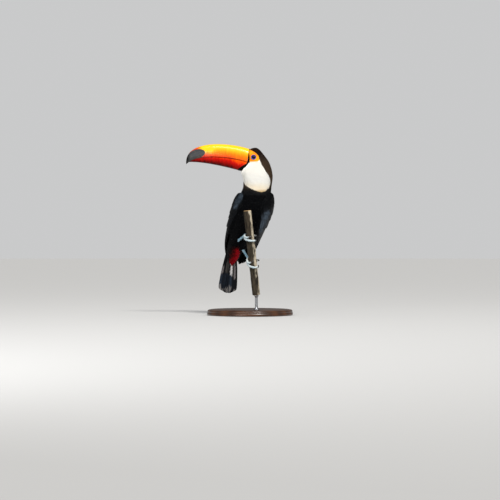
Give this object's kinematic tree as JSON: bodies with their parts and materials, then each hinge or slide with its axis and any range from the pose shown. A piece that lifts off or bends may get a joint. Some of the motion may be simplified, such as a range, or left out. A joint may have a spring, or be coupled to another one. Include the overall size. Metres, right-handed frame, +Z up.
{
  "type": "toco toucan display model",
  "caption": "Life-size still model of a toco toucan clinging upright to a cut length of branch, on a round display base.",
  "frame": {"origin": "middle of the underside of the display base, on the floor", "axes": "+Z up along the bird's upright body; -Y the way its breast faces, towards the branch; the bill points along -X because the head is turned to the bird's right"},
  "size_m": [0.2985, 0.24, 0.4779],
  "materials": {
    "plumage": "soft overlapping feathers: glossy blue-black body, white bib, red undertail coverts, white rump",
    "flight_feathers": "stiff black vanes with a faint blue sheen, grey where the light catches their edges",
    "bill": "smooth horn: yellow ridge, orange sides, red lower half, black oval at the tip and black band at the base",
    "eye": "wet dark eye",
    "face_skin": "bare orange skin with fine folds and a blue-violet ring round the eye",
    "foot_skin": "pale blue-grey scutes, satin",
    "claw": "dark grey horn",
    "bark": "rough grey-brown bark with darker mottling",
    "cut_wood": "sawn end of the branch with growth rings",
    "base_wood": "dark stained hardwood, satin lacquer",
    "rod_steel": "brushed steel"
  },
  "bodies": {
    "root": {"head": "plumage", "neck": "plumage", "trunk": "plumage", "bill_upper": "bill", "bill_lower": "bill", "eye_left": "eye", "eye_right": "eye", "wing_left": "flight_feathers", "wing_right": "flight_feathers", "undertail_coverts": "plumage", "uppertail_coverts": "plumage", "tail": "flight_feathers", "thigh_left": "plumage", "tarsus_left": "foot_skin", "toe_left_1": "foot_skin", "claw_left_1": "claw", "toe_left_2": "foot_skin", "claw_left_2": "claw", "toe_left_3": "foot_skin", "claw_left_3": "claw", "toe_left_4": "foot_skin", "claw_left_4": "claw", "thigh_right": "plumage", "tarsus_right": "foot_skin", "toe_right_1": "foot_skin", "claw_right_1": "claw", "toe_right_2": "foot_skin", "claw_right_2": "claw", "toe_right_3": "foot_skin", "claw_right_3": "claw", "toe_right_4": "foot_skin", "claw_right_4": "claw", "perch": "bark", "stand_base": "base_wood", "stand_rod": "rod_steel"}
  },
  "joints": []
}
